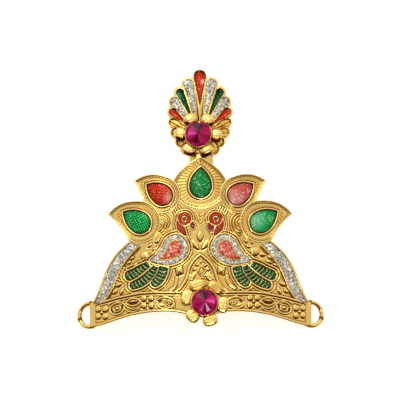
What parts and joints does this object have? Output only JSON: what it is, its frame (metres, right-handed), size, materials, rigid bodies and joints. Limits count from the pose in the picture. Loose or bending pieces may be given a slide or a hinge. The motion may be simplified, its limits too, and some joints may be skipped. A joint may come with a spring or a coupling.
{
  "type": "deity crown",
  "caption": "Curved gold-plated crown front for a small deity figure, with enamelled petals, peacocks, a lobed plume, two stone-set rosettes and a thread ring at each end.",
  "frame": {"origin": "on the surface that the crown lies on, under the middle of its outline", "axes": "+X to its right as seen from the front, +Y from the thread rings towards the plume's tip, +Z out of its front"},
  "size_m": [0.1118, 0.1175, 0.0254],
  "materials": {
    "gold": "bright gold-plated casting",
    "red_enamel": "poured enamel",
    "dark_red_enamel": "poured enamel",
    "green_enamel": "poured enamel",
    "silver_glitter": "silver glitter in clear resin",
    "pink_stone": "cut glass, foiled behind"
  },
  "bodies": {
    "root": {"crown_plate": "gold", "plume_shell": "gold", "thread_ring_l": "gold", "thread_ring_r": "gold", "flower_low": "gold", "flower_top": "gold", "stone_cup_low": "gold", "stone_cup_top": "gold", "petal_enamel_upper_l": "red_enamel", "petal_enamel_upper_r": "red_enamel", "bird_head_enamel_l": "red_enamel", "bird_head_enamel_r": "red_enamel", "bird_body_enamel_l": "red_enamel", "bird_body_enamel_r": "red_enamel", "plume_red_top": "red_enamel", "plume_red_l4": "red_enamel", "plume_red_r5": "red_enamel", "petal_enamel_center": "green_enamel", "petal_enamel_lower_l": "green_enamel", "petal_enamel_lower_r": "green_enamel", "plume_green_l2": "green_enamel", "plume_green_r3": "green_enamel", "tail_feather_enamel_1_l": "green_enamel", "tail_feather_enamel_1_r": "green_enamel", "tail_feather_enamel_2_l": "green_enamel", "tail_feather_enamel_2_r": "green_enamel", "tail_feather_enamel_3_l": "green_enamel", "tail_feather_enamel_3_r": "green_enamel", "bird_beak_enamel_l": "dark_red_enamel", "bird_beak_enamel_r": "dark_red_enamel", "side_glitter_l": "silver_glitter", "side_glitter_r": "silver_glitter", "bird_body_glitter_l": "silver_glitter", "bird_body_glitter_r": "silver_glitter", "plume_glitter_l1": "silver_glitter", "plume_glitter_r2": "silver_glitter", "plume_glitter_l3": "silver_glitter", "plume_glitter_r4": "silver_glitter", "stone_low": "pink_stone", "stone_top": "pink_stone"}
  },
  "joints": []
}
